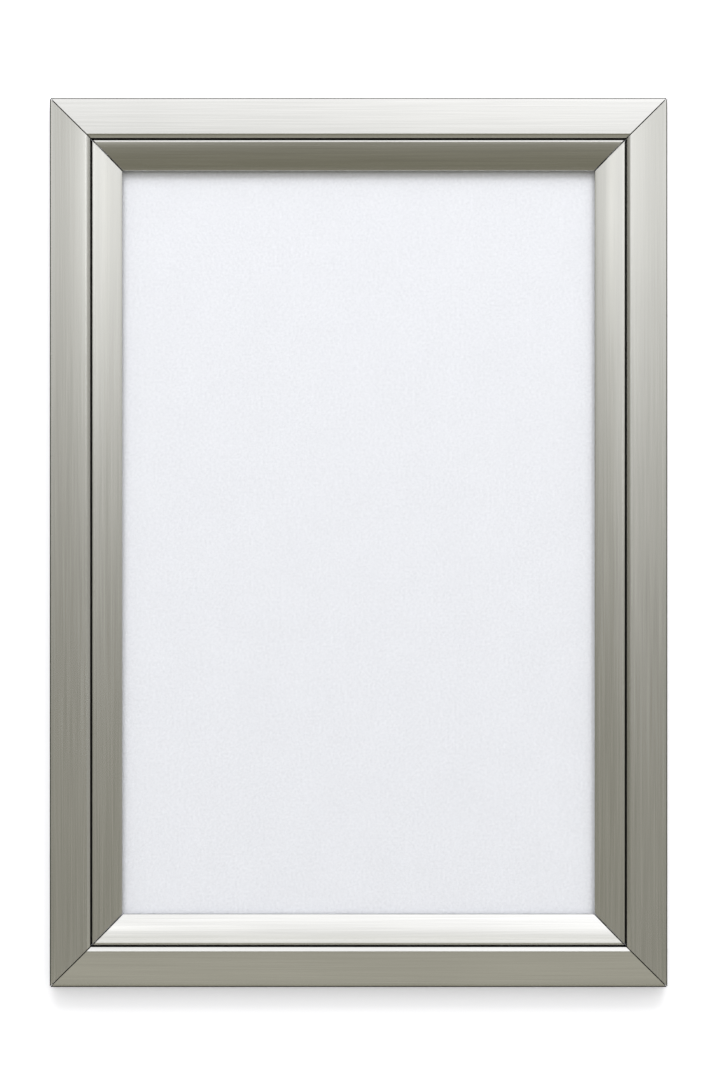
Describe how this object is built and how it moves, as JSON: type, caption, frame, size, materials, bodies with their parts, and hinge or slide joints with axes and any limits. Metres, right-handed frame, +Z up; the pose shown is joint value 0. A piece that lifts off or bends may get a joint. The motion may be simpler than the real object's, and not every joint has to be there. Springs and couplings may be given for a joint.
{
  "type": "snap frame",
  "caption": "Upright snap frame for a poster sheet: mitred wide fixed metal band with hinged spring-held snap lids around a blank white insert.",
  "frame": {"origin": "centre of the wall plane behind the frame, in the middle of its width and height", "axes": "+Z up the frame, +Y into the wall, +X to the right as seen from the front"},
  "size_m": [0.3466, 0.0154, 0.499],
  "materials": {
    "rail_metal": "brushed satin, warm grey",
    "lid_metal": "brushed satin, warm grey",
    "spring_steel": "dark tempered spring steel",
    "key_steel": "zinc plated",
    "backing_board": "matte white sheet",
    "insert_paper": "matte, blank",
    "clear_cover": "clear film with an anti-glare face"
  },
  "bodies": {
    "root_frame": {"base_rail_bottom": "rail_metal", "base_rail_left": "rail_metal", "base_rail_top": "rail_metal", "base_rail_right": "rail_metal", "leaf_spring_bottom_1": "spring_steel", "leaf_spring_bottom_2": "spring_steel", "leaf_spring_left_1": "spring_steel", "leaf_spring_left_2": "spring_steel", "leaf_spring_left_3": "spring_steel", "leaf_spring_top_1": "spring_steel", "leaf_spring_top_2": "spring_steel", "leaf_spring_right_1": "spring_steel", "leaf_spring_right_2": "spring_steel", "leaf_spring_right_3": "spring_steel", "corner_key_bottom_left": "key_steel", "corner_key_top_left": "key_steel", "corner_key_top_right": "key_steel", "corner_key_bottom_right": "key_steel", "backing_panel": "backing_board", "poster_insert": "insert_paper", "cover_sheet": "clear_cover"},
    "lid_bottom": {"snap_lid_bottom": "lid_metal"},
    "lid_left": {"snap_lid_left": "lid_metal"},
    "lid_top": {"snap_lid_top": "lid_metal"},
    "lid_right": {"snap_lid_right": "lid_metal"}
  },
  "joints": [
    {"name": "lid_hinge_bottom", "type": "hinge", "parent": "root_frame", "child": "lid_bottom", "pos_m": [0, -0.0125, -0.2244], "axis": [1, 0, 0], "range_deg": [0, 110], "stiffness_Nm_per_rad": 0.05, "springref_deg": -68.75, "deforming": ["leaf_spring_bottom_1", "leaf_spring_bottom_2"]},
    {"name": "lid_hinge_left", "type": "hinge", "parent": "root_frame", "child": "lid_left", "pos_m": [-0.1482, -0.0125, 0], "axis": [0, 0, -1], "range_deg": [0, 110], "stiffness_Nm_per_rad": 0.05, "springref_deg": -68.75, "deforming": ["leaf_spring_left_1", "leaf_spring_left_2", "leaf_spring_left_3"]},
    {"name": "lid_hinge_top", "type": "hinge", "parent": "root_frame", "child": "lid_top", "pos_m": [0, -0.0125, 0.2244], "axis": [-1, 0, 0], "range_deg": [0, 110], "stiffness_Nm_per_rad": 0.05, "springref_deg": -68.75, "deforming": ["leaf_spring_top_1", "leaf_spring_top_2"]},
    {"name": "lid_hinge_right", "type": "hinge", "parent": "root_frame", "child": "lid_right", "pos_m": [0.1482, -0.0125, 0], "axis": [0, 0, 1], "range_deg": [0, 110], "stiffness_Nm_per_rad": 0.05, "springref_deg": -68.75, "deforming": ["leaf_spring_right_1", "leaf_spring_right_2", "leaf_spring_right_3"]}
  ]
}
